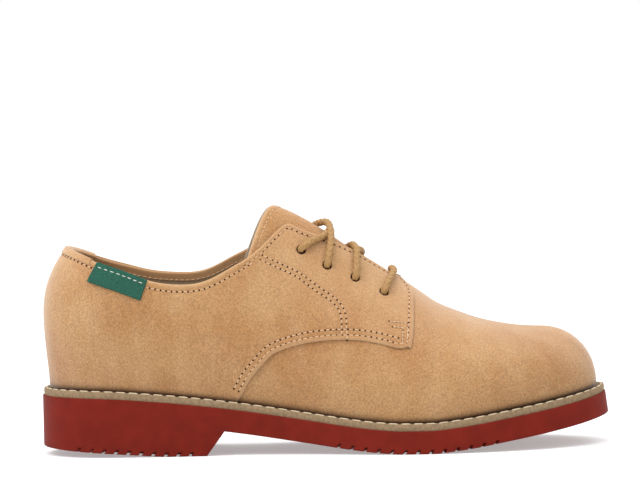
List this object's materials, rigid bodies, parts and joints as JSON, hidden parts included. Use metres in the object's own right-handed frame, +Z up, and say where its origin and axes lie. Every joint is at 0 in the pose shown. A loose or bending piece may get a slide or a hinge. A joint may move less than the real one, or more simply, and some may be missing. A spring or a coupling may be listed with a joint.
{
  "type": "buck oxford shoe",
  "caption": "Low lace-up suede shoe with a plain rounded toe, open lacing over a tongue, stitched welt and a rubber sole with a low heel; right shoe, empty.",
  "frame": {"origin": "middle of the shoe's box, on the plane that the sole stands on", "axes": "+X towards the toe, +Y towards the medial side, +Z up"},
  "size_m": [0.27, 0.0981, 0.1163],
  "materials": {
    "rubber": "matt moulded brick-red rubber",
    "welt": "matt taupe welt with pale stitches",
    "lining": "smooth lining leather",
    "suede": "napped tan suede",
    "lace": "round waxed braid",
    "tab": "dark green woven ribbon"
  },
  "bodies": {
    "root": {"outsole": "rubber", "welt": "welt", "insole": "lining", "upper": "suede", "tongue": "suede", "lace_bar": "lace", "lace_cross_lower": "lace", "lace_cross_upper": "lace", "back_strip": "suede", "collar_tab": "tab"}
  },
  "joints": []
}
